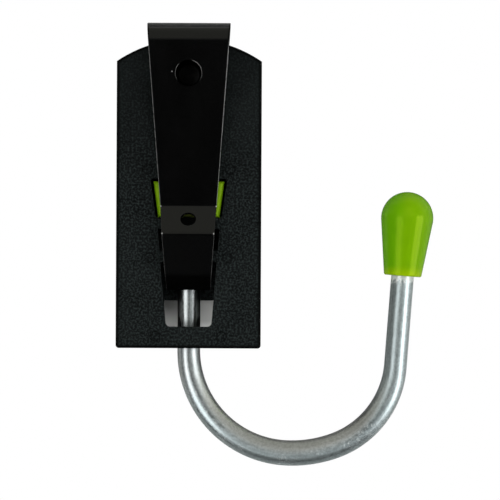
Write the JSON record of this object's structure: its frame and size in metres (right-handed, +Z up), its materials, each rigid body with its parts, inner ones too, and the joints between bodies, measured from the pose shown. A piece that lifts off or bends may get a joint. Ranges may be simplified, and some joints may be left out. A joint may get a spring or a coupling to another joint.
{
  "type": "drill belt hook",
  "caption": "Moulded plate with a folded spring belt clip on its back and a swivelling J-shaped rod hook with a rubber tip, for hanging a drill from a belt.",
  "frame": {"origin": "on the plate's belt-side face, on its centre line, level with the middle of a worn belt", "axes": "+Z up as worn, +Y away from the wearer, +X to the side that the hook points to at rest"},
  "size_m": [0.132, 0.0373, 0.1832],
  "materials": {
    "plate_plastic": "fine spark texture, black",
    "clip_paint": "semi-gloss black paint on spring steel",
    "rivet_black": "blackened steel",
    "keeper_plastic": "moulded yellow-green plastic",
    "rod_aluminium": "drawn satin bar",
    "cap_rubber": "dipped-looking yellow-green rubber, slight sheen"
  },
  "bodies": {
    "plate": {"back_plate": "plate_plastic", "belt_clip": "clip_paint", "clip_rivet": "rivet_black", "rod_keeper": "keeper_plastic"},
    "hook": {"hook_rod": "rod_aluminium", "hook_cap": "cap_rubber"}
  },
  "joints": [
    {"name": "hook_swivel", "type": "hinge", "parent": "plate", "child": "hook", "pos_m": [0, 0.01205, 0], "axis": [0, 0, 1], "continuous": true}
  ]
}
